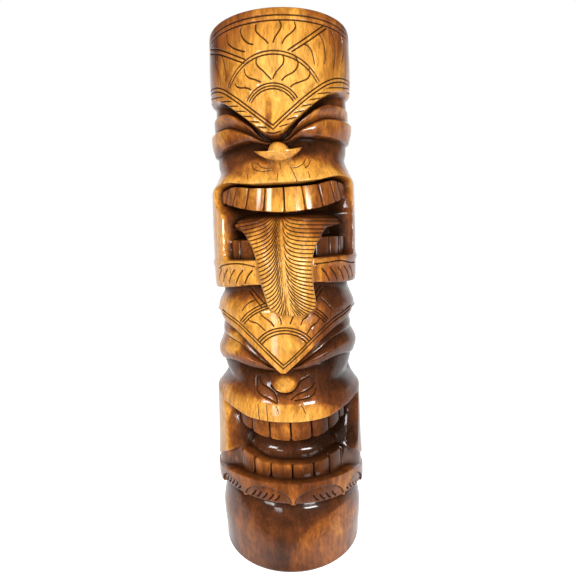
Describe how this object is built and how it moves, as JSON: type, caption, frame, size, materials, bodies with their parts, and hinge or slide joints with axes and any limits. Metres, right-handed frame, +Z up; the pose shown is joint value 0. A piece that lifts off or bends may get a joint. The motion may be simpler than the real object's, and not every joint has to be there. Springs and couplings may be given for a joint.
{
  "type": "tiki totem",
  "caption": "Free-standing wooden totem carved from one log: a grinning tiki face with a long tongue above a second grinning face, on a plain round foot.",
  "frame": {"origin": "middle of the log's flat underside, on the floor", "axes": "+Z up along the log, the carved faces look along -Y, +X is to the right as seen from the front"},
  "size_m": [0.3095, 0.3005, 1.016],
  "materials": {
    "lacquered_wood": "clear gloss lacquer over two-tone hardwood, golden sapwood and red-brown heartwood"
  },
  "bodies": {
    "root": {"totem": "lacquered_wood"}
  },
  "joints": []
}
